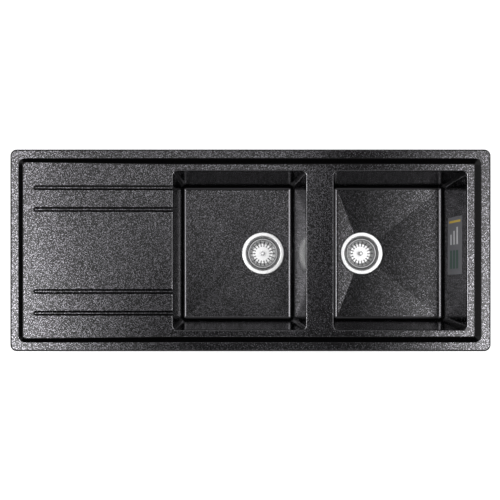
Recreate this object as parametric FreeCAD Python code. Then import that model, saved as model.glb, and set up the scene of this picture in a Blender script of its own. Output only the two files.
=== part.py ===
"""An inset double bowl kitchen sink with a drainer, cast in one piece, with its wastes, strainer baskets and
worktop clips.

Millimetres. The origin is the middle of the worktop cut-out, at the height of the worktop's top face, which
the underside of the sink's rim rests on. +X runs from the drainer to the bowls, +Y to the back and +Z up.
Each piece is written to parts/NAME.step.
"""

import FreeCAD, Part
import math
import os

V = FreeCAD.Vector
UP = V(0, 0, 1)

# ---------------------------------------------------------------- casting: rim, recessed deck and drainer
sink_length = 1190.0
sink_width = 500.0
rim_height = 10.0            # the rim's top above the worktop
rim_corner_radius = 16.0
rim_edge_round = 4.0
rim_underside_round = 1.0
cutout_margin = 10.0         # how far the rim overlaps the worktop's cut edge

recess_margin_left = 21.0    # flat rim, from the outer edge to where the recess starts
recess_margin_right = 24.0
recess_margin_sides = 22.0   # front and back
recess_corner_radius = 17.0
recess_corner_least = 1.0    # of the recess's corners, at its foot
recess_slope = math.radians(42.0)   # of the recess's sides, from level
recess_edge_round = 2.0
recess_foot_round = 3.0
recess_depth_left = 8.5      # below the rim at the drainer's far end
recess_depth_bowls = 12.3    # below the rim round the bowls
drainer_run_out = 18.0       # from where the drainer's fall ends to the bowl
drainer_bend_reach = 13.0    # of the bend there, each way
wall = 9.0                   # thickness of the casting

groove_width = 12.4
groove_floor_width = 2.6
groove_depth = 3.6
groove_spacings = (102.0, 156.0)    # from the middle line, both ways
groove_start = 27.0          # from the foot of the recess to the grooves' round ends

# ---------------------------------------------------------------- casting: bowls
bowl_width = 331.0           # along X, at the deck
bowl_depth = 200.0           # rim top to the floor's edge
bowl_ledge_sides = 17.0      # level deck between the recess's foot and the bowls, front and back
bowl_ledge_right = 18.5
divider = 69.5               # deck between the two bowls
bowl_draft = math.radians(5.9)
bowl_corner_radius = 12.0
bowl_lip_round = 3.5
floor_fall = 4.0             # from the floor's edge to the waste
floor_rim = 2.0              # level strip between the corner round and the floor's fall
drain_offset = 97.0          # waste's centre from the bowl's side at the divider
seat_below_fall = 3.0        # flange seat below the lowest point of the fall
seat_thickness = 8.0         # of the casting under the flange

# ---------------------------------------------------------------- wastes
cup_radius = 41.0            # inside
cup_sheet = 1.2
cup_depth = 37.4             # flange top to the cup's floor
cup_foot_round = 4.0
funnel_flare = 5.0           # from the cup's wall to the flange
funnel_depth = 6.5
flange_width = 10.7
flange_edge_round = 2.5
flange_gap = 1.3             # between the flange and the side of its seat
flange_seal_thickness = 2.7
flange_seal_inset = 2.5      # from the funnel's mouth to the seal
seal_gap = 0.3               # between what a seal holds apart
cup_opening_radius = 15.0
cup_web_width = 5.0
cup_hub_margin = 1.5         # of the web's hub round the screw's head

waste_hole_gap = 2.8         # round the steel cup, in the casting
waste_bore_gap = 1.8         # round the steel cup, in the waste body
waste_wall = 4.0
waste_seal_thickness = 3.0
waste_seal_inset = 1.0       # from the waste body's edge, and from the hole
waste_flange_width = 9.0
waste_flange_thickness = 4.5
waste_funnel_height = 17.0
outlet_radius = 23.9         # crests of the 1 1/2 inch pipe thread
outlet_wall = 3.9
outlet_length = 26.0
outlet_chamfer = 1.0
outlet_collar_width = 2.6
outlet_collar_height = 5.0
hub_drop = 3.3               # from the cup's underside to the hub
hub_height = 18.0
hub_wall = 2.7               # round the nut's corners
hub_ribs = 3
hub_rib_thickness = 3.0
gussets = 8
gusset_thickness = 3.0
gusset_height = 15.0
gusset_inset = 1.5           # from the waste body's edge

waste_screw_radius = 3.0
waste_screw_tail = 9.5       # past the nut
waste_screw_head_radius = 5.5
waste_screw_head_height = 3.0
waste_screw_slot = 1.4
waste_nut_flats = 10.0
waste_nut_height = 5.0
thread_gap = 0.05            # stands in for an engaged thread
hole_gap = 0.2               # round a screw or stem in a plain hole

# ---------------------------------------------------------------- baskets
basket_sheet = 1.0
basket_gap = 1.4             # between the basket's rim and the cup
basket_rim_width = 3.6
basket_rim_drop = 2.0        # height of the rim's turned down edge
basket_below_flange = 7.2
basket_taper = 8.5           # from the rim's inner edge to the floor's edge, inwards
slot_count = 18
slot_width = 3.0
slot_inner_radius = 20.0
slot_climb = 5.5             # how far past the floor's edge the slots run up the side, measured level
plug_overlap = 3.0           # of the plug round the cup's opening
plug_thickness = 3.0
plug_lip_width = 2.0
plug_screw_clearance = 1.0   # between the screw's head and the stem's riveted end
stem_radius = 3.0
plug_washer_radius = 9.0
plug_washer_thickness = 0.8
rivet_radius = 5.0
rivet_height = 0.7
knob_height = 14.0
knob_radius = 5.5
knob_base_radius = 5.2
knob_waist_radius = 3.3

# ---------------------------------------------------------------- worktop clips
clips_along_side = 4         # on the back, and as many on the front
clip_end_inset = 90.0        # of the outermost clips, from the sink's ends
clip_inset = 4.0             # clip screw's axis inside the edge of the recess
clip_screw_radius = 2.5
clip_screw_gap = 0.1         # stands in for an engaged thread
clip_screw_length = 37.0
clip_screw_engaged = 6.0     # thread in the insert with the clip let right down
clip_head_radius = 5.5
clip_head_flange = 1.2
clip_head_flats = 8.0
clip_head_height = 4.5
clip_head_cross = 1.2
clip_head_cross_depth = 2.0
clip_head_cross_margin = 1.2    # from the cross's ends to the head's flats
insert_wall = 1.4
insert_length = 14.0
insert_relief = 8.0          # free hole past the insert, for the screw's tip
boss_wall = 3.5              # round the insert
boss_height = 27.0           # below the worktop's top face
arm_width = 14.0
arm_sheet = 2.0
arm_bend_radius = 1.5        # inside
arm_play = 0.1               # between the arm and the screw's head
arm_heel_gap = 4.5           # between the heel and the boss
arm_heel_height = 32.0
arm_toe_height = 16.0
arm_toe_grip = 9.5           # how far the toe reaches under the worktop, at the front and back
arm_toe_length = 8.5

# ---------------------------------------------------------------- seal and sticker
rim_seal_inset = 5.0         # from the rim's outer edge
rim_seal_width = 4.0
rim_seal_depth = 1.5
sticker_width = 148.0
sticker_height = 106.0
sticker_thickness = 0.3
sticker_top = 36.0           # below the deck, down the bowl's wall
sticker_shift = 16.0         # towards the back

# ---------------------------------------------------------------- places worked out from the sizes
half_length = sink_length / 2
half_width = sink_width / 2
recess_run = recess_depth_bowls / math.tan(recess_slope)
deck_z = rim_height - recess_depth_bowls
floor_z = rim_height - bowl_depth
recess_x0 = -half_length + recess_margin_left
recess_x1 = half_length - recess_margin_right
recess_y1 = half_width - recess_margin_sides
bowl_y1 = recess_y1 - recess_run - bowl_ledge_sides
right_bowl_x1 = recess_x1 - recess_run - bowl_ledge_right
right_bowl_x0 = right_bowl_x1 - bowl_width
left_bowl_x1 = right_bowl_x0 - divider
left_bowl_x0 = left_bowl_x1 - bowl_width
bowls = {
    "left": {"x0": left_bowl_x0, "x1": left_bowl_x1, "drain": left_bowl_x1 - drain_offset},
    "right": {"x0": right_bowl_x0, "x1": right_bowl_x1, "drain": right_bowl_x0 + drain_offset},
}

drainer_x0 = recess_x0 + recess_depth_left / math.tan(recess_slope)
drainer_z0 = rim_height - recess_depth_left
drainer_x1 = left_bowl_x0 - drainer_run_out
drainer_fall = (drainer_z0 - deck_z) / (drainer_x1 - drainer_x0)

seat_z = floor_z - floor_fall - seat_below_fall
underside_z = seat_z - seat_thickness
seat_height = flange_seal_thickness + cup_sheet      # of the flange's top above its seat
flange_z = seat_z + seat_height
funnel_radius = cup_radius + funnel_flare
flange_radius = funnel_radius + flange_width
cup_outside = cup_radius + cup_sheet
cup_bottom = -cup_depth - cup_sheet
waste_hole_radius = cup_outside + waste_hole_gap
waste_bore = cup_outside + waste_bore_gap
waste_outside = waste_bore + waste_wall
waste_flange_radius = waste_outside + waste_flange_width
waste_top = -seat_height - seat_thickness - waste_seal_thickness
hub_top = cup_bottom - hub_drop
hub_bottom = hub_top - hub_height
hub_radius = waste_nut_flats / math.sqrt(3) + hub_wall
waste_straight_end = hub_top - 1.0
waste_funnel_end = waste_straight_end - waste_funnel_height
outlet_top = waste_funnel_end - outlet_collar_height - 1.0
outlet_bottom = outlet_top - outlet_length
outlet_bore = outlet_radius - outlet_wall

basket_radius = cup_radius - basket_gap
basket_floor_radius = basket_radius - basket_rim_width - basket_taper
plug_radius = cup_opening_radius + plug_overlap
rivet_bottom = -cup_depth + waste_screw_head_height + plug_screw_clearance
rivet_top = rivet_bottom + rivet_height
disc_bottom = rivet_top + plug_washer_thickness
basket_floor_bottom = disc_bottom + plug_thickness
basket_floor_top = basket_floor_bottom + basket_sheet

boss_bottom = -boss_height
insert_radius = clip_screw_radius + clip_screw_gap + insert_wall
boss_radius = insert_radius + boss_wall
insert_top = boss_bottom + insert_length
clip_head_top = boss_bottom + clip_screw_engaged - clip_screw_length
arm_heel_reach = boss_radius + arm_heel_gap + arm_sheet
arm_toe_reach = recess_margin_sides + clip_inset - cutout_margin + arm_toe_grip


# ---------------------------------------------------------------- drawing helpers
def upright(u, v):
    """A point of a section drawn in the XZ plane."""
    return V(u, 0, v)


def outline(corners, place=upright):
    """A face from (u, v, corner radius) corners, with tangent arcs at the rounded ones."""
    points = [V(u, v, 0) for u, v, _ in corners]
    trims = []
    for i, (_, _, radius) in enumerate(corners):
        before = (points[i - 1] - points[i]).normalize()
        after = (points[(i + 1) % len(points)] - points[i]).normalize()
        half_angle = before.getAngle(after) / 2
        reach = radius / math.tan(half_angle)
        middle = V()
        if radius:
            middle = (before + after).normalize() * (radius / math.sin(half_angle) - radius)
        trims.append((points[i] + before * reach, points[i] + middle, points[i] + after * reach))
    edges = []
    for i, (start, middle, end) in enumerate(trims):
        if corners[i][2]:
            arc = [place(p.x, p.y) for p in (start, middle, end)]
            edges.append(Part.Arc(*arc).toShape())
        following = trims[(i + 1) % len(trims)][0]
        if (following - end).Length > 1e-6:
            edges.append(Part.makeLine(place(end.x, end.y), place(following.x, following.y)))
    return Part.Face(Part.Wire(edges))


def turned(corners):
    """A round piece: the section of (radius, height, corner radius) corners turned about Z."""
    return outline(corners).revolve(V(), UP, 360)


def polygon(points):
    """A flat face with straight sides."""
    return Part.Face(Part.makePolygon(points + points[:1]))


def rounded_rectangle(x0, x1, y0, y1, radius, z):
    """A level face with round corners."""
    corners = [(x0, y0, radius), (x1, y0, radius), (x1, y1, radius), (x0, y1, radius)]
    return outline(corners, lambda u, v: V(u, v, z))


def rim_outline(inset):
    """The sink's outline at the worktop's height, drawn in by an inset."""
    x, y = half_length - inset, half_width - inset
    return rounded_rectangle(-x, x, -y, y, rim_corner_radius - inset, 0)


def cylinder(radius, z0, z1, x=0.0, y=0.0):
    return Part.makeCylinder(radius, z1 - z0, V(x, y, z0))


def ring(outer, inner, z0, z1):
    return cylinder(outer, z0, z1).cut(cylinder(inner, z0 - 1, z1 + 1))


def block(x0, x1, y0, y1, z0, z1):
    return Part.makeBox(x1 - x0, y1 - y0, z1 - z0, V(x0, y0, z0))


def hexagon(flats, z0, z1):
    """A hexagonal bar, with two of its corners on the X axis."""
    radius = flats / math.sqrt(3)
    turns = [math.pi / 3 * k for k in range(6)]
    corners = [V(radius * math.cos(turn), radius * math.sin(turn), z0) for turn in turns]
    return polygon(corners).extrude(V(0, 0, z1 - z0))


def around(shape, count):
    """Copies of a shape, evenly turned about Z."""
    return [shape.rotated(V(), UP, 360.0 * k / count) for k in range(count)]


def placed(shape, x, y, z=0.0):
    return shape.translated(V(x, y, z))


def edges_where(shape, test):
    """The edges of which five points spread along them pass the test."""
    found = []
    for edge in shape.Edges:
        first, last = edge.FirstParameter, edge.LastParameter
        if all(test(edge.valueAt(first + (last - first) * k / 4)) for k in range(5)):
            found.append(edge)
    return found


# ---------------------------------------------------------------- casting
def space_above_deck(drop):
    """All that lies above the deck and the drainer's fall, lowered by drop."""
    far, top = sink_length, rim_height + sink_width
    far_z = deck_z + drainer_fall * (drainer_x1 + far)
    bend_radius = drainer_bend_reach / math.tan(math.atan(drainer_fall) / 2)
    section = outline(
        [
            (-far, far_z - drop, 0),
            (drainer_x1, deck_z - drop, bend_radius),
            (far, deck_z - drop, 0),
            (far, top, 0),
            (-far, top, 0),
        ],
        lambda u, v: V(u, -sink_width, v),
    )
    return section.extrude(V(0, 2 * sink_width, 0))


def recess_block(grow, top_z, bottom_z):
    """The recess's sloping sides, grown outwards by grow, between two heights."""
    rings = []
    for z in (top_z, bottom_z):
        inset = (rim_height - z) / math.tan(recess_slope) - grow
        x0, x1, y1 = recess_x0 + inset, recess_x1 - inset, recess_y1 - inset
        corner = max(recess_corner_radius - inset, recess_corner_least)
        rings.append(rounded_rectangle(x0, x1, -y1, y1, corner, z).OuterWire)
    return Part.makeLoft(rings, True, True)


def recess_cut():
    """What the recess takes out of the rim, with a round foot."""
    cut = recess_block(0, rim_height, deck_z - 1).common(space_above_deck(0))

    def on_foot(p):
        side = min(p.x - recess_x0, recess_x1 - p.x, recess_y1 - abs(p.y))
        slope_z = rim_height - side * math.tan(recess_slope)
        return p.z < rim_height - recess_depth_left / 2 and abs(p.z - slope_z) < 2.0

    foot = [e for e in edges_where(cut, on_foot) if e.BoundBox.ZLength < recess_depth_left / 2]
    return cut.makeFillet(recess_foot_round, foot)


def bowl_block(bowl, grow, top_z, bottom_z):
    """A bowl's drafted block between two heights, grown by grow, with round upright and lower edges."""
    rings = []
    for z in (top_z, bottom_z):
        inset = (deck_z - z) * math.tan(bowl_draft) - grow
        x0, x1, y1 = bowl["x0"] + inset, bowl["x1"] - inset, bowl_y1 - inset
        corners = [V(x0, -y1, z), V(x1, -y1, z), V(x1, y1, z), V(x0, y1, z)]
        rings.append(Part.makePolygon(corners + corners[:1]))
    sharp = Part.makeLoft(rings, True, True)
    edges = [e for e in sharp.Edges if e.BoundBox.ZMin < top_z - 1]
    return sharp.makeFillet(bowl_corner_radius + grow, edges)


def floor_fall_block(bowl):
    """The shallow pyramid that the floor falls by, from its edge to the waste."""
    inset = (deck_z - floor_z) * math.tan(bowl_draft) + bowl_corner_radius + floor_rim
    x0, x1, y1 = bowl["x0"] + inset, bowl["x1"] - inset, bowl_y1 - inset
    rim = [V(x0, -y1, floor_z), V(x1, -y1, floor_z), V(x1, y1, floor_z), V(x0, y1, floor_z)]
    low = V(bowl["drain"], 0, floor_z - floor_fall)
    faces = [polygon(rim)]
    for k in range(4):
        faces.append(polygon([rim[k], rim[(k + 1) % 4], low]))
    return Part.makeSolid(Part.makeShell(faces))


def drain_groove(y):
    """One drain groove with sloping sides and a round end, running out over the bowl's edge."""
    start_x = recess_x0 + recess_run + groove_start
    start_z = drainer_z0 - drainer_fall * (start_x - drainer_x0)
    length = left_bowl_x0 - start_x + bowl_corner_radius
    half_floor = groove_floor_width / 2
    half_top = groove_width - half_floor      # as high above the drainer as the floor is below it
    low, high = -groove_depth, groove_depth
    corners = [V(0, -half_floor, low), V(0, half_floor, low), V(0, half_top, high), V(0, -half_top, high)]
    channel = polygon(corners).extrude(V(length, 0, 0))
    end = Part.makeCone(half_floor, half_top, high - low, V(0, 0, low))
    tool = channel.fuse(end)
    tool.rotate(V(), V(0, 1, 0), math.degrees(math.atan(drainer_fall)))
    return placed(tool, start_x, y, start_z)


def rim_seal():
    """The foam strip in its groove under the rim."""
    outer = rim_outline(rim_seal_inset).extrude(V(0, 0, rim_seal_depth))
    return outer.cut(rim_outline(rim_seal_inset + rim_seal_width).extrude(V(0, 0, rim_seal_depth)))


def clip_places():
    """Each clip's name, the place of its screw, and the turn that points its parked arm."""
    first, last = -half_length + clip_end_inset, half_length - clip_end_inset
    step = (last - first) / (clips_along_side - 1)
    side_y = recess_y1 - clip_inset
    places = []
    for k in range(clips_along_side):
        places.append((f"back_{k + 1}", first + step * k, side_y, 0.0))
    for k in range(clips_along_side):
        places.append((f"front_{k + 1}", first + step * k, -side_y, 180.0))
    places.append(("left_end", recess_x0 + clip_inset, 0.0, 90.0))
    places.append(("right_end", recess_x1 - clip_inset, 0.0, 270.0))
    return places


def sink_body():
    rim = rim_outline(0).extrude(V(0, 0, rim_height))
    rim = rim.makeFillet(rim_edge_round, edges_where(rim, lambda p: abs(p.z - rim_height) < 1e-6))
    rim = rim.makeFillet(rim_underside_round, edges_where(rim, lambda p: abs(p.z) < 1e-6))

    grow = wall / math.sin(recess_slope)
    solids = [recess_block(grow, 0, deck_z - wall - 1).common(space_above_deck(wall))]
    for bowl in bowls.values():
        solids.append(bowl_block(bowl, wall, deck_z - wall / 2, underside_z))
    for _, x, y, _ in clip_places():
        solids.append(cylinder(boss_radius, boss_bottom, rim_height / 2, x, y))
    body = rim.fuse(solids).cut(recess_cut())
    body = body.cut([bowl_block(bowl, 0, rim_height, floor_z) for bowl in bowls.values()])

    def on_recess_edge(p):
        inside = min(half_length - abs(p.x), half_width - abs(p.y))
        return abs(p.z - rim_height) < 1e-4 and inside > rim_edge_round + 1

    def on_bowl_lip(p):
        ledge = min(bowl_ledge_sides, bowl_ledge_right) / 2
        inside = min(recess_x1 - p.x, recess_y1 - abs(p.y)) > recess_run + ledge
        return abs(p.z - deck_z) < 1e-4 and inside and p.x > left_bowl_x0 - 1

    body = body.makeFillet(recess_edge_round, edges_where(body, on_recess_edge))
    body = body.makeFillet(bowl_lip_round, edges_where(body, on_bowl_lip))

    body = body.cut([drain_groove(side * y) for y in groove_spacings for side in (-1, 1)])
    body = body.cut([floor_fall_block(bowl) for bowl in bowls.values()])
    cuts = [rim_seal()]
    for bowl in bowls.values():
        cuts.append(cylinder(flange_radius + flange_gap, seat_z, floor_z + 1, bowl["drain"]))
        cuts.append(cylinder(waste_hole_radius, underside_z - 1, seat_z + 1, bowl["drain"]))
    for _, x, y, _ in clip_places():
        cuts.append(cylinder(insert_radius, boss_bottom - 1, insert_top, x, y))
        cuts.append(cylinder(clip_screw_radius + hole_gap, boss_bottom, insert_top + insert_relief, x, y))
    return body.cut(cuts)


def bowl_sticker():
    """A thin printed sheet on the right bowl's outer wall."""
    lean = math.tan(bowl_draft)
    top_x = right_bowl_x1 - sticker_top * lean
    top_z = deck_z - sticker_top
    drop = sticker_height * math.cos(bowl_draft)
    bottom_x, bottom_z = top_x - drop * lean, top_z - drop
    y0, y1 = sticker_shift - sticker_width / 2, sticker_shift + sticker_width / 2
    top = [V(top_x, y0, top_z), V(top_x, y1, top_z)]
    bottom = [V(bottom_x, y1, bottom_z), V(bottom_x, y0, bottom_z)]
    inwards = V(-math.cos(bowl_draft), 0, math.sin(bowl_draft))
    return polygon(top + bottom).extrude(inwards * sticker_thickness)


# ---------------------------------------------------------------- waste, drawn with the flange's top at zero
def strainer_cup():
    """The pressed steel cup whose flange shows round the basket, with a web that the screw pulls on."""
    skirt = seal_gap - seat_height
    inside_edge = flange_radius - cup_sheet
    shell = turned(
        [
            (flange_radius, skirt, 0),
            (flange_radius, 0, flange_edge_round),
            (funnel_radius, 0, 6.0),
            (cup_radius, -funnel_depth, 4.0),
            (cup_radius, -cup_depth, cup_foot_round),
            (cup_opening_radius, -cup_depth, 0),
            (cup_opening_radius, cup_bottom, 0),
            (cup_outside, cup_bottom, cup_foot_round + cup_sheet),
            (cup_outside, -funnel_depth - cup_sheet / 3, 3.0),
            (funnel_radius + cup_sheet / 3, -cup_sheet, 4.0),
            (inside_edge, -cup_sheet, flange_edge_round - cup_sheet),
            (inside_edge, skirt, 0),
        ]
    )
    half = cup_web_width / 2
    arms = around(block(0, cup_opening_radius + 1, -half, half, cup_bottom, -cup_depth), 3)
    web = cylinder(waste_screw_head_radius + cup_hub_margin, cup_bottom, -cup_depth).fuse(arms)
    hole = cylinder(waste_screw_radius + hole_gap, cup_bottom - 1, -cup_depth + 1)
    return shell.fuse(web).removeSplitter().cut(hole)


def flange_gasket():
    """The ring between the steel flange and its seat in the bowl."""
    outer = flange_radius - flange_edge_round
    return ring(outer, funnel_radius + flange_seal_inset, -seat_height, -cup_sheet)


def waste_gasket():
    """The ring between the casting's underside and the waste body."""
    outer = waste_flange_radius - waste_seal_inset
    return ring(outer, waste_hole_radius + waste_seal_inset, waste_top, waste_top + waste_seal_thickness)


def waste_body():
    """The moulded lower half, with a hub on ribs for the screw's nut and a threaded outlet."""
    flange_under = waste_top - waste_flange_thickness
    collar_radius = outlet_radius + outlet_collar_width
    outer_wall = [
        (outlet_radius - outlet_chamfer, outlet_bottom, 0),
        (outlet_radius, outlet_bottom + outlet_chamfer, 0),
        (outlet_radius, outlet_top, 0),
        (collar_radius, outlet_top, 1.0),
        (collar_radius, outlet_top + outlet_collar_height, 3.0),
        (waste_outside, waste_straight_end - 2.5, 8.0),
        (waste_outside, flange_under, 2.0),
        (waste_flange_radius, flange_under, 1.0),
        (waste_flange_radius, waste_top, 0),
    ]
    inner_wall = [
        (waste_bore, waste_top, 0),
        (waste_bore, waste_straight_end, 6.0),
        (outlet_bore, waste_funnel_end, 6.0),
        (outlet_bore, outlet_bottom, 0),
    ]
    shell = turned(outer_wall + inner_wall)
    envelope = turned(outer_wall + [(0, waste_top, 0), (0, outlet_bottom, 0)])

    half = hub_rib_thickness / 2
    rib = block(0, waste_outside, -half, half, hub_bottom + 2.0, hub_top - 4.0)
    ribs = [r.common(envelope) for r in around(rib, hub_ribs)]
    hub = cylinder(hub_radius, hub_bottom, hub_top).fuse(ribs)

    half = gusset_thickness / 2
    inner, outer = waste_outside - 1.0, waste_flange_radius - gusset_inset
    gusset = polygon(
        [
            V(inner, -half, flange_under + 1.0),
            V(outer, -half, flange_under + 1.0),
            V(outer, -half, flange_under - 1.0),
            V(inner, -half, flange_under - gusset_height),
        ]
    ).extrude(V(0, gusset_thickness, 0))

    body = shell.fuse([hub] + around(gusset, gussets))
    body = body.cut(cylinder(waste_screw_radius + hole_gap, hub_bottom - 1, hub_top + 1))
    pocket_top = hub_bottom + waste_nut_height + 2 * thread_gap
    return body.cut(hexagon(waste_nut_flats + 2 * thread_gap, hub_bottom - 1, pocket_top))


def waste_nut():
    nut = hexagon(waste_nut_flats, hub_bottom, hub_bottom + waste_nut_height)
    hole = cylinder(waste_screw_radius + thread_gap, hub_bottom - 1, hub_bottom + waste_nut_height + 1)
    return nut.cut(hole)


def waste_screw():
    """The slotted screw that draws the cup and the waste body together."""
    tip = hub_bottom - waste_screw_tail
    head_top = -cup_depth + waste_screw_head_height
    screw = turned(
        [
            (0, tip, 0),
            (waste_screw_radius - 0.6, tip, 0),
            (waste_screw_radius, tip + 0.8, 0),
            (waste_screw_radius, -cup_depth, 0),
            (waste_screw_head_radius, -cup_depth, 0),
            (waste_screw_head_radius, head_top, 1.2),
            (0, head_top, 0),
        ]
    )
    half, reach = waste_screw_slot / 2, waste_screw_head_radius + 1
    return screw.cut(block(-reach, reach, -half, half, head_top - 1.3, head_top + 1))


# ---------------------------------------------------------------- basket, drawn likewise
def basket():
    """The pressed basket, with radial slots that run from its floor up its side."""
    rim_z = -basket_below_flange
    edge_z = rim_z - basket_rim_drop
    wall_top = basket_radius - basket_rim_width
    edge_inside = basket_radius - 0.8 * basket_sheet
    side = 0.75 * basket_sheet       # the sloping side's thickness, measured level
    stem_hole = stem_radius + hole_gap
    shell = turned(
        [
            (basket_radius, edge_z, 0),
            (basket_radius, rim_z, 0.9),
            (wall_top, rim_z, 2.0),
            (basket_floor_radius, basket_floor_top, 3.5),
            (stem_hole, basket_floor_top, 0),
            (stem_hole, basket_floor_bottom, 0),
            (basket_floor_radius + side, basket_floor_bottom, 4.5),
            (wall_top + side, rim_z - basket_sheet, 1.0),
            (edge_inside, rim_z - basket_sheet, 0.2),
            (edge_inside, edge_z, 0),
        ]
    )
    steepness = (rim_z - basket_floor_top) / basket_taper
    slot_top = basket_floor_top + slot_climb * steepness
    half = slot_width / 2
    reach = basket_floor_radius + slot_climb
    slot = block(slot_inner_radius, reach, -half, half, basket_floor_bottom - 1, slot_top)
    slot = slot.fuse(cylinder(half, basket_floor_bottom - 1, slot_top, slot_inner_radius))
    return shell.cut(around(slot, slot_count))


def plug_seal():
    """The rubber plug under the basket, whose lip closes the cup's opening."""
    stem_hole = stem_radius + hole_gap
    lip_bottom = -cup_depth + seal_gap
    lip_inside = plug_radius - plug_lip_width
    return turned(
        [
            (stem_hole, basket_floor_bottom, 0),
            (plug_radius, basket_floor_bottom, 0.8),
            (plug_radius, lip_bottom, 0.6),
            (lip_inside, lip_bottom, 0.6),
            (lip_inside - 1.5, disc_bottom, 0),
            (stem_hole, disc_bottom, 0),
        ]
    )


def plug_washer():
    return ring(plug_washer_radius, stem_radius + hole_gap, rivet_top, disc_bottom)


def lift_knob():
    """The turned knob, riveted over under the plug's washer."""
    top = basket_floor_top + knob_height
    return turned(
        [
            (0, rivet_bottom, 0),
            (rivet_radius, rivet_bottom, 0.3),
            (rivet_radius, rivet_top, 0),
            (stem_radius, rivet_top, 0),
            (stem_radius, basket_floor_top, 0),
            (knob_base_radius, basket_floor_top, 0),
            (knob_base_radius, basket_floor_top + 1.5, 0.8),
            (knob_waist_radius, basket_floor_top + 0.35 * knob_height, 2.5),
            (knob_radius, basket_floor_top + 0.72 * knob_height, 1.5),
            (knob_radius - 0.4, top, 3.0),
            (0, top, 0),
        ]
    )


# ---------------------------------------------------------------- clips, drawn with the screw's axis on Z
def clip_insert():
    return ring(insert_radius, clip_screw_radius + clip_screw_gap, boss_bottom, insert_top)


def clip_screw():
    """A hexagon head clamping screw with a cross recess, pointing up."""
    tip = clip_head_top + clip_screw_length
    flange_bottom = clip_head_top - clip_head_flange
    shank = turned(
        [
            (0, flange_bottom, 0),
            (clip_head_radius, flange_bottom, 0.4),
            (clip_head_radius, clip_head_top, 0),
            (clip_screw_radius, clip_head_top, 0),
            (clip_screw_radius, tip - 1.0, 0),
            (clip_screw_radius - 0.8, tip, 0),
            (0, tip, 0),
        ]
    )
    head_bottom = clip_head_top - clip_head_height
    screw = shank.fuse(hexagon(clip_head_flats, head_bottom, flange_bottom))
    half, reach = clip_head_cross / 2, clip_head_flats / 2 - clip_head_cross_margin
    cross_top = head_bottom + clip_head_cross_depth
    cross = block(-reach, reach, -half, half, head_bottom - 1, cross_top)
    cross = cross.fuse(block(-half, half, -reach, reach, head_bottom - 1, cross_top))
    return screw.cut(cross)


def clip_arm():
    """The bent steel arm: a heel that bears on the sink and a toe that grips the worktop's underside."""
    base = clip_head_top + arm_play
    heel, toe = -arm_heel_reach, arm_toe_reach
    riser = toe - arm_toe_length
    heel_top, toe_top = base + arm_heel_height, base + arm_toe_height
    inside, outside = arm_bend_radius, arm_bend_radius + arm_sheet
    strip = outline(
        [
            (heel, heel_top, 0),
            (heel, base, outside),
            (riser + arm_sheet, base, outside),
            (riser + arm_sheet, toe_top - arm_sheet, inside),
            (toe, toe_top - arm_sheet, 0),
            (toe, toe_top, 0),
            (riser, toe_top, outside),
            (riser, base + arm_sheet, inside),
            (heel + arm_sheet, base + arm_sheet, inside),
            (heel + arm_sheet, heel_top, 0),
        ],
        lambda u, v: V(u, -arm_width / 2, v),
    ).extrude(V(0, arm_width, 0))
    return strip.cut(cylinder(clip_screw_radius + 2 * hole_gap, base - 1, base + arm_sheet + 1))


# ---------------------------------------------------------------- all the pieces
def pieces():
    made = {"sink_body": sink_body(), "rim_seal": rim_seal(), "bowl_sticker": bowl_sticker()}
    waste_pieces = {
        "strainer_cup": strainer_cup(),
        "flange_gasket": flange_gasket(),
        "waste_gasket": waste_gasket(),
        "waste_body": waste_body(),
        "waste_nut": waste_nut(),
        "waste_screw": waste_screw(),
        "basket": basket(),
        "plug_seal": plug_seal(),
        "plug_washer": plug_washer(),
        "lift_knob": lift_knob(),
    }
    for side, bowl in bowls.items():
        for name, shape in waste_pieces.items():
            made[f"{side}_{name}"] = placed(shape, bowl["drain"], 0, flange_z)
    insert, screw, arm = clip_insert(), clip_screw(), clip_arm()
    made["clip_inserts"] = Part.makeCompound([placed(insert, x, y) for _, x, y, _ in clip_places()])
    for name, x, y, turn in clip_places():
        made[f"clip_screw_{name}"] = placed(screw, x, y)
        made[f"clip_arm_{name}"] = placed(arm.rotated(V(), UP, turn), x, y)
    return made


os.makedirs("parts", exist_ok=True)
for piece_name, piece in pieces().items():
    piece.exportStep(f"parts/{piece_name}.step")
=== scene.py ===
"""Looks of an inset double bowl kitchen sink in black speckled composite, seen from straight above."""

import math

import bpy
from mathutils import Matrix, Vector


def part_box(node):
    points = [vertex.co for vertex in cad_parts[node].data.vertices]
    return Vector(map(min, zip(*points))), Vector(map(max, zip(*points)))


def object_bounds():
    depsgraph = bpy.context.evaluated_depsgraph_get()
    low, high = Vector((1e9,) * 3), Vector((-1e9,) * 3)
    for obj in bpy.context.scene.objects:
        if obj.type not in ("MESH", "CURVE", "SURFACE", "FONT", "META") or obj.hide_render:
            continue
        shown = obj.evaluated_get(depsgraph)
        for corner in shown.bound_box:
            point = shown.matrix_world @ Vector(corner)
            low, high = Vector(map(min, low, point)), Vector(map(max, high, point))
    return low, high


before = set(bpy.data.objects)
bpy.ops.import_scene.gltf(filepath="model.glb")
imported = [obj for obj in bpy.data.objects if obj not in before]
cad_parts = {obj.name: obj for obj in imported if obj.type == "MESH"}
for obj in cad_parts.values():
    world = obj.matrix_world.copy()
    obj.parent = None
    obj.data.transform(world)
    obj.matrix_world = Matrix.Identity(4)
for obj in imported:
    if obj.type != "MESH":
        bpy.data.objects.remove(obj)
cad_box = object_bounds()
bpy.ops.object.select_all(action="DESELECT")


# ---------------------------------------------------------------------------------------------- casting
# One casting of quartz sand in black acrylic resin: rim, drainer and both bowls. The face that shows comes
# off a polished mould, black, with glinting flakes and grey grains of quartz in its skin, and bare resin on its
# edges and slopes, apart from the bowls' lips and floor rounds, which carry a painted highlight, brightest where
# they face left or right. The back, which faced the other half of the mould, is duller and greyer, with open
# pores.
mm = 1000.0                             # in a metre


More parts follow.
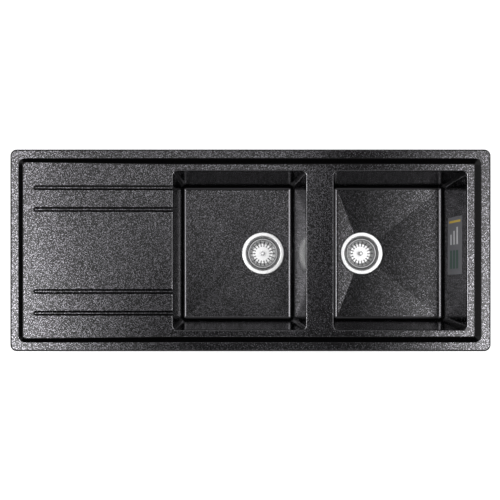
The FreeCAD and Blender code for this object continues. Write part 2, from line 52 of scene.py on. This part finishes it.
class Value:
    """An output of one of a finish's nodes. Sums and products of values add their Math nodes."""

    def __init__(self, finish, socket):
        self.finish = finish
        self.socket = socket

    def output(self, name):
        """Another output of the same node."""
        return Value(self.finish, self.socket.node.outputs[name])

    def __add__(self, other):
        return self.finish.maths("ADD", self, other)

    def __radd__(self, other):
        return self.finish.maths("ADD", other, self)

    def __rsub__(self, other):
        return self.finish.maths("SUBTRACT", other, self)

    def __mul__(self, other):
        return self.finish.maths("MULTIPLY", self, other)

    def __rmul__(self, other):
        return self.finish.maths("MULTIPLY", other, self)

    def __truediv__(self, other):
        return self.finish.maths("DIVIDE", self, other)

    def __pow__(self, other):
        return self.finish.maths("POWER", self, other)

    def __abs__(self):
        return self.finish.maths("ABSOLUTE", self)

    def __gt__(self, other):
        return self.finish.maths("GREATER_THAN", self, other)

    def __lt__(self, other):
        return self.finish.maths("LESS_THAN", self, other)


class Finish:
    """A finish under way: the block of Blender's data that has it, its nodes, and the skin that they feed."""

    def __init__(self, name, blocks=bpy.data.materials, skin="Principled BSDF", **sockets):
        self.block = blocks.new(name)
        self.block.use_nodes = True
        self.skin = self.block.node_tree.nodes[skin]
        self.set(**sockets)

    def node(self, kind, settings, inputs, output=0):
        """A new node: its type, its settings, then the values or links of its sockets."""
        made = self.block.node_tree.nodes.new(kind)
        for name, setting in settings.items():
            if name == "stops":
                stops = made.color_ramp.elements
                for position, _ in setting[2:]:
                    stops.new(position)
                for stop, (position, grey) in zip(stops, setting):
                    stop.position = position
                    stop.color = (grey, grey, grey, 1.0)
            else:
                setattr(made, name, setting)
        for key, value in inputs.items():
            self.feed(made.inputs[key], value)
        return Value(self, made.outputs[output])

    def feed(self, socket, value):
        if isinstance(value, Value):
            self.block.node_tree.links.new(value.socket, socket)
        else:
            socket.default_value = value

    def set(self, **sockets):
        """Sets or links the skin's sockets, whose names have _ for each space."""
        for name, value in sockets.items():
            if isinstance(value, tuple):
                value = (*value, 1.0)
            self.feed(self.skin.inputs[name.replace("_", " ")], value)

    def maths(self, operation, *operands):
        return self.node("ShaderNodeMath", {"operation": operation}, dict(enumerate(operands)))

    def vectors(self, operation, *operands, **sockets):
        inputs = {**dict(enumerate(operands)), **sockets}
        return self.node("ShaderNodeVectorMath", {"operation": operation}, inputs)

    def place(self, centre=(0.0, 0.0, 0.0), stretch=(1.0, 1.0, 1.0)):
        """Where on the object, in millimetres from a centre that is given in metres."""
        metres = self.node("ShaderNodeTexCoord", {}, {}, "Object")
        scale = [mm * s for s in stretch]
        shift = [-c * s for c, s in zip(centre, scale)]
        return self.node("ShaderNodeMapping", {}, {"Vector": metres, "Scale": scale, "Location": shift})

    def axes(self, vector):
        """A vector's three parts."""
        x = self.node("ShaderNodeSeparateXYZ", {}, {"Vector": vector}, "X")
        return x, x.output("Y"), x.output("Z")

    def noise(self, place, size, detail=2.0):
        """Clouds of about a size in millimetres, from 0 to 1."""
        inputs = {"Vector": place, "Scale": 1.0 / size, "Detail": detail}
        return self.node("ShaderNodeTexNoise", {}, inputs, "Fac")

    def cells(self, place, size):
        """How far the nearest cell's middle is, in cells of a size in millimetres."""
        return self.node("ShaderNodeTexVoronoi", {}, {"Vector": place, "Scale": 1.0 / size}, "Distance")

    def crystals(self, place, size):
        """Cells with two chance values each, from 0 to 1."""
        distance = self.cells(place, size)
        chance = self.node("ShaderNodeSeparateColor", {}, {"Color": distance.output("Color")}, "Red")
        return distance, chance, chance.output("Green")

    def ramp(self, value, *stops):
        """A grey that goes from stop to stop, each of them a value and its level."""
        return self.node("ShaderNodeValToRGB", {"stops": stops}, {"Fac": value})

    def mix(self, share, first, second):
        """From the first colour to the second, as the share goes from 0 to 1."""
        first, second = [(*colour, 1.0) if isinstance(colour, tuple) else colour for colour in (first, second)]
        factor, colour_a, colour_b, mixed = 0, 6, 7, 2      # places of the colour sockets on a Mix node
        inputs = {factor: share, colour_a: first, colour_b: second}
        return self.node("ShaderNodeMix", {"data_type": "RGBA"}, inputs, mixed)

    def bump(self, height, depth, **sockets):
        """Relief of a depth in millimetres where the height goes from 0 to 1."""
        inputs = {"Height": height, "Distance": depth / mm, **sockets}
        self.set(Normal=self.node("ShaderNodeBump", {}, inputs))


def dress(finish, *nodes):
    """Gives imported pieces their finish."""
    for node in nodes:
        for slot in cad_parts[node].material_slots:
            slot.material = finish.block


composite = Finish("speckled_composite", IOR=1.34)
place = composite.place()
x, _, z = composite.axes(place)
leans, tips, facing = composite.axes(composite.node("ShaderNodeTexCoord", {}, {}, "Normal"))

# Facing is 1 on a floor, 0 on a wall and -1 on the underside, and edges, rounds and slopes, which have no
# grains, lie between. Heights are in millimetres from the worktop.
wall_facing, floor_facing = 0.13, 0.97
grained = 1.0 - (facing > wall_facing) * (facing < floor_facing)

outside_facing, under_facing, outside_top = 0.03, -0.3, -3.0
back = (facing < outside_facing) * (z < outside_top) + (facing < under_facing)  # 2 on the underside, the dullest
front = 1.0 - back

lip_top, lip_foot, drainer_end = -2.5, -8.0, -200.0
round_top, round_foot = -177.0, -191.0
round_steepest, round_flattest = 0.35, 0.993
lips = (z < lip_top) * (z > lip_foot) * (x > drainer_end)
rounds = (z < round_top) * (z > round_foot) + lips
rounds = rounds * (facing > round_steepest) * (facing < round_flattest)

grain_size = 1.7
grain_core, grain_rim, flake_rim = 0.42, 0.56, 0.57     # in cells from a grain's middle
quartz_share, flake_share = 0.16, 0.40
distance, chance, shade = composite.crystals(place, grain_size)
grain = composite.ramp(distance, (grain_core, 1.0), (grain_rim, 0.0))
quartz = grain * (chance > 1.0 - quartz_share) * grained
flake = (distance < flake_rim) * (chance < flake_share) * grained

clouds = composite.noise(place, size=60.0)
resin_colour = composite.mix(clouds, (0.0008, 0.0008, 0.0009), (0.0014, 0.0013, 0.0015))
quartz_colour = composite.mix(shade, (0.030, 0.029, 0.033), (0.120, 0.117, 0.127))
flake_colour = composite.mix(shade, (0.235, 0.228, 0.248), (0.055, 0.053, 0.059))
pores = composite.noise(place, size=1.3, detail=3.0)
back_colour = composite.mix(pores, (0.034, 0.034, 0.036), (0.080, 0.080, 0.084))
sideways = abs(leans) > abs(tips)
# Painted highlight: the lips and floor rounds get a pale metallic colour, brighter where they face left or
# right, towards the bright ends of the light.
painted_round_highlight = composite.mix(sideways, (0.028, 0.0275, 0.029), (0.090, 0.089, 0.094))
painted_lip_highlight = composite.mix(sideways, (0.080, 0.079, 0.083), (0.270, 0.266, 0.280))
speckled = composite.mix(quartz, resin_colour, quartz_colour)
speckled = composite.mix(grain * flake, speckled, flake_colour)
# The rounds and lips take the painted highlight in place of the grains, and are made metallic for it.
speckled = composite.mix(rounds, speckled, composite.mix(lips, painted_round_highlight, painted_lip_highlight))
composite.set(
    Base_Color=composite.mix(back, speckled, back_colour),
    Metallic=composite.maths("MAXIMUM", flake, rounds) * front,
    Roughness=0.11 + 0.06 * composite.noise(place, size=9.0) + back * 0.4,
)

flake_lean, relief_depth, back_relief = 0.10, 0.008, 3.0
lean = composite.vectors("SUBTRACT", distance.output("Color"), (0.5, 0.5, 0.5))
lean = composite.vectors("SCALE", lean, Scale=flake * grain * shade * flake_lean * front)
lean = composite.vectors("ADD", composite.node("ShaderNodeNewGeometry", {}, {}, "Normal"), lean)
relief = composite.noise(place, size=2.0, detail=1.5) * (1.0 + back * back_relief)
composite.bump(relief, relief_depth, Normal=composite.vectors("NORMALIZE", lean))
dress(composite, "sink_body")


# ---------------------------------------------------------------------------------------------- rim seal
# A strip of closed-cell foam in a groove under the rim, which lies on the worktop. It is cut from a sheet, and
# the cut cells show.
foam = Finish("cell_foam", Roughness=0.9)
pores = foam.cells(foam.place(), size=0.6)
foam.set(Base_Color=foam.mix(pores, (0.018, 0.018, 0.018), (0.06, 0.06, 0.06)))
foam.bump(pores, depth=0.2)
dress(foam, "rim_seal")


# ---------------------------------------------------------------------------------------------- sticker
# A printed film on the right bowl's outer wall. Its print is plain blocks of colour: green bars, white lines
# and a yellow stripe, on grey.
film = Finish("printed_film", Roughness=0.32)
low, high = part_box("bowl_sticker")
_, y, z = film.axes(film.place(centre=low))
y = y / (mm * (high.y - low.y))
z = z / (mm * (high.z - low.z))


def patch(y0, y1, z0, z1):
    """A block of print, in shares of the film's width and height."""
    return (y > y0) * (y < y1) * (z > z0) * (z < z1)


grey, white = (0.17, 0.17, 0.185), (0.80, 0.80, 0.82)
green, yellow = (0.008, 0.075, 0.045), (0.80, 0.56, 0.08)
bars = patch(0.10, 0.42, 0.60, 0.74) + patch(0.10, 0.42, 0.38, 0.52) + patch(0.10, 0.42, 0.16, 0.30)
stripe = patch(0.90, 0.94, 0.10, 0.90)
lines = patch(0.52, 0.82, 0.62, 0.72) + patch(0.52, 0.76, 0.40, 0.50) + patch(0.52, 0.70, 0.18, 0.28)
ink = film.mix(bars, grey, green)
ink = film.mix(stripe, ink, yellow)
film.set(Base_Color=film.mix(lines, ink, white))
film.bump(film.noise(film.place(), size=12.0), depth=0.05)
dress(film, "bowl_sticker")


# ---------------------------------------------------------------------------------------------- strainers
# Cups and baskets pressed from stainless steel sheet, with turned knobs, washers and screws. They are polished
# round and round; the cups' funnels and floors, hollows under the flange and the basket, carry painted shade.
sides = ("left", "right")
funnel_bore, funnel_step, funnel_rim = 34.3, 40.6, 45.5     # radii, in millimetres
funnel_drop = 0.8                                           # from the flange's crown
sump_bore, sump_rise = 36.0, 0.3                            # above the basket's foot


def waste_axis(side):
    """A point on the upright line that a bowl's strainer and waste are turned about."""
    low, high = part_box(f"{side}_strainer_cup")
    return (low.x + high.x) / 2, (low.y + high.y) / 2, 0.0


for side in sides:
    steel = Finish(f"{side}_polished_steel", Metallic=1.0)
    x, y, z = steel.axes(steel.place(centre=waste_axis(side)))
    radius = (x * x + y * y) ** 0.5
    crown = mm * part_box(f"{side}_strainer_cup")[1].z
    basket_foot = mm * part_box(f"{side}_basket")[0].z
    funnel = (radius > funnel_bore) * (radius < funnel_rim) * (z < crown - funnel_drop)
    sump = (radius < sump_bore) * (z < basket_foot + sump_rise)
    smudges = steel.noise(steel.place(), size=16.0, detail=3.0)
    polished = steel.mix(smudges, (0.71, 0.71, 0.715), (0.77, 0.77, 0.77))
    # Painted shade: a darker grey on the cups' funnels and on their floors under the baskets, a little lighter
    # on the funnel's outer step.
    painted_hollow_shade = steel.mix(smudges, (0.32, 0.32, 0.325), (0.40, 0.40, 0.405))
    painted_hollow_shade = steel.mix(radius > funnel_step, painted_hollow_shade, (0.52, 0.52, 0.525))
    rings = steel.node("ShaderNodeCombineXYZ", {}, {"X": radius, "Y": z, "Z": 0.0})
    lines = steel.noise(rings, size=0.5, detail=1.0)
    steel.set(Base_Color=steel.mix(steel.maths("MAXIMUM", funnel, sump), polished, painted_hollow_shade))
    steel.set(Roughness=0.40 + 0.06 * smudges + 0.05 * lines)
    steel.bump(lines, depth=0.004)
    for piece in ("strainer_cup", "basket", "plug_washer", "lift_knob", "waste_screw"):
        dress(steel, f"{side}_{piece}")


# ---------------------------------------------------------------------------------------------- rubber rings
# Moulded black rubber: the rings over and under each bowl's hole, and the plug's seal under each basket. A pale
# bloom lies on it in clouds.
rubber = Finish("moulded_rubber")
place = rubber.place()
bloom = rubber.noise(place, size=11.0, detail=3.0)
rubber.set(Base_Color=rubber.mix(bloom, (0.016, 0.016, 0.016), (0.030, 0.030, 0.031)))
rubber.set(Roughness=0.55 + 0.15 * bloom)
rubber.bump(rubber.noise(place, size=0.7), depth=0.03)
for side in sides:
    dress(rubber, f"{side}_flange_gasket", f"{side}_waste_gasket", f"{side}_plug_seal")


# ---------------------------------------------------------------------------------------------- waste bodies
# Black polypropylene, moulded, with a finely grained skin. The outlet has a pipe thread on its outside, of 11
# turns to the inch.
thread_pitch = 2.309
thread_length, thread_root, thread_depth = 25.5, 23.0, 0.9
skin_share = 0.03                       # of the thread's depth
for side in sides:
    plastic = Finish(f"{side}_moulded_plastic")
    place = plastic.place(centre=waste_axis(side))
    x, y, z = plastic.axes(place)
    radius = (x * x + y * y) ** 0.5
    outlet_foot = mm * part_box(f"{side}_waste_body")[0].z
    on_pipe = (z < outlet_foot + thread_length) * (radius > thread_root)
    turns = z / thread_pitch + plastic.maths("ARCTAN2", y, x) / (2 * math.pi)
    thread = plastic.maths("PINGPONG", turns, 0.5) * 2.0
    skin = plastic.noise(place, size=0.8, detail=1.0)
    clouds = plastic.noise(place, size=20.0)
    plastic.set(Base_Color=plastic.mix(clouds, (0.026, 0.026, 0.027), (0.040, 0.040, 0.042)))
    plastic.set(Roughness=0.36 + 0.14 * skin)
    plastic.bump(on_pipe * thread + skin * skin_share, thread_depth)
    dress(plastic, f"{side}_waste_body")


# ---------------------------------------------------------------------------------------------- brass
# The nuts that draw cups and waste bodies together, and the threaded inserts cast into the clips' bosses. They
# are turned from brass bar, which leaves lines round them, and are a little tarnished.
brass = Finish("turned_brass", Metallic=1.0)
tarnish = brass.noise(brass.place(), size=5.0, detail=4.0)
brass.set(Base_Color=brass.mix(tarnish, (0.78, 0.57, 0.27), (0.62, 0.43, 0.17)))
brass.set(Roughness=0.24 + 0.18 * tarnish)
brass.bump(brass.noise(brass.place(stretch=(1, 1, 12)), size=2.0), depth=0.01)
dress(brass, "left_waste_nut", "right_waste_nut", "clip_inserts")


# ---------------------------------------------------------------------------------------------- clips
# Clamping screws in the brass inserts, and arms bent from steel strip. Screws and arms are zinc plated and
# bright, with the faint bluish cast of the plating.
zinc = Finish("zinc_plate", Metallic=1.0)
place = zinc.place()
spangle = zinc.noise(place, size=2.5, detail=3.0)
zinc.set(Base_Color=zinc.mix(spangle, (0.56, 0.58, 0.62), (0.72, 0.73, 0.76)))
zinc.set(Roughness=0.26 + 0.2 * spangle)
zinc.bump(zinc.noise(place, size=0.6), depth=0.01)
dress(zinc, *[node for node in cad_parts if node.startswith(("clip_screw", "clip_arm"))])


# ---------------------------------------------------------------------------------------------- studio
# The sink stands on a white floor in a white room, under a sheet that glows at both ends and along the back
# and is dim in the middle. Black cards stand round it, out of the picture, for the recess's black edge.
low, high = cad_box


def shown(finish):
    """1 for the camera and for what metal and glass mirror, and 0 for the light that falls on the sink."""
    camera_ray = finish.node("ShaderNodeLightPath", {}, {}, "Is Camera Ray")
    mirrored = camera_ray.output("Is Glossy Ray") + camera_ray.output("Is Transmission Ray")
    return finish.maths("MINIMUM", camera_ray + mirrored, 1.0)


def panel(name, finish, size, place, turn=(0.0, 0.0, 0.0)):
    """A flat panel of the studio, which is no part of the sink."""
    bpy.ops.mesh.primitive_plane_add(size=1.0, location=place, rotation=turn)
    made = bpy.context.object
    made.name = name
    made.scale = (*size, 1.0)
    bpy.ops.object.transform_apply(location=True, rotation=True, scale=True)
    made.data.materials.append(finish.block)
    return made


floor_side, floor_gap = 16.0, 0.001
floor_grey, floor_glow = 0.70, 0.58     # together white, but for the sink's shadow
paint = Finish("white_floor", Base_Color=(floor_grey,) * 3, Roughness=0.9, Emission_Color=(1.0, 1.0, 1.0))
paint.set(Emission_Strength=floor_glow * shown(paint))
panel("floor", paint, (floor_side, floor_side), (0.0, 0.0, low[2] - floor_gap))

room_light = 0.7                        # on the sink, where the room shows as 1
room = Finish("studio", bpy.data.worlds, "Background", Color=(1.0, 1.0, 1.0))
room.set(Strength=room_light + (1.0 - room_light) * shown(room))
bpy.context.scene.world = room.block

# The sheet's levels along its front and its back, each with its place across in metres.
front_levels = (
    (-1.25, 15.0), (-0.80, 4.0), (-0.60, 1.5), (-0.20, 0.0), (0.25, 0.4), (0.60, 0.0), (0.80, 1.0), (0.95, 2.0),
    (1.30, 12.0),
)
back_levels = (-1.25, 10.0), (-0.85, 2.0), (0.25, 2.0), (0.45, 0.5), (0.60, 0.0), (0.90, 1.0), (1.30, 5.0)
sheet_peak = 15.0
sheet_start, sheet_end = -1.45, 1.60
sheet_width, sheet_depth = sheet_end - sheet_start, 1.50
sheet_place = ((sheet_start + sheet_end) / 2, 0.10, 2.50)
grade_start, grade_depth = -0.35, 0.90  # where the front's levels turn to the back's
glow = Finish("graded_sheet", Base_Color=(0.0, 0.0, 0.0), Specular_IOR_Level=0.0, Emission_Strength=sheet_peak)
x, y, _ = glow.axes(glow.place(centre=(sheet_start, grade_start, 0.0)))
x = x / (mm * sheet_width)
y = y / (mm * grade_depth)
front_glow, back_glow = [
    glow.ramp(x, *[((at - sheet_start) / sheet_width, level / sheet_peak) for at, level in levels])
    for levels in (front_levels, back_levels)
]
glow.set(Emission_Color=glow.mix(y, front_glow, back_glow))
sheet = panel("graded_sheet", glow, (sheet_width, sheet_depth), sheet_place)
sheet.visible_camera = False

card_far, card_top = 2.0, 0.95
card_width, card_height = 2 * card_far, card_top - low[2]
card_middle = card_top - card_height / 2
upright = math.pi / 2
black = Finish("black_card", Base_Color=(0.01, 0.01, 0.01), Specular_IOR_Level=0.0)
for name, x, y, size, turn in (
    ("left", -card_far, 0.0, (card_height, card_width), (0.0, upright, 0.0)),
    ("right", card_far, 0.0, (card_height, card_width), (0.0, upright, 0.0)),
    ("back", 0.0, card_far, (card_width, card_height), (upright, 0.0, 0.0)),
    ("front", 0.0, -card_far, (card_width, card_height), (upright, 0.0, 0.0)),
):
    card = panel(f"{name}_card", black, size, (x, y, card_middle), turn)
    card.visible_camera = False
    card.visible_diffuse = False

film_width = 36.0                       # of the camera's sensor, in millimetres
camera_height = 2.533                   # over the rim's top, in metres
frame_width = 1.2372                    # of the picture, at the rim's top
camera_x, camera_y = -0.0978, -0.100
shift_x, shift_y = 0.078, 0.0814        # which bring the sink to the picture's middle
farthest = 50.0
camera_data = bpy.data.cameras.new("camera")
camera_data.sensor_width = film_width
camera_data.lens = film_width * camera_height / frame_width
camera_data.shift_x = shift_x
camera_data.shift_y = shift_y
camera_data.clip_end = farthest
camera = bpy.data.objects.new("camera", camera_data)
camera.location = (camera_x, camera_y, high[2] + camera_height)
bpy.context.scene.collection.objects.link(camera)
bpy.context.scene.camera = camera

bpy.context.scene.view_settings.view_transform = "Standard"
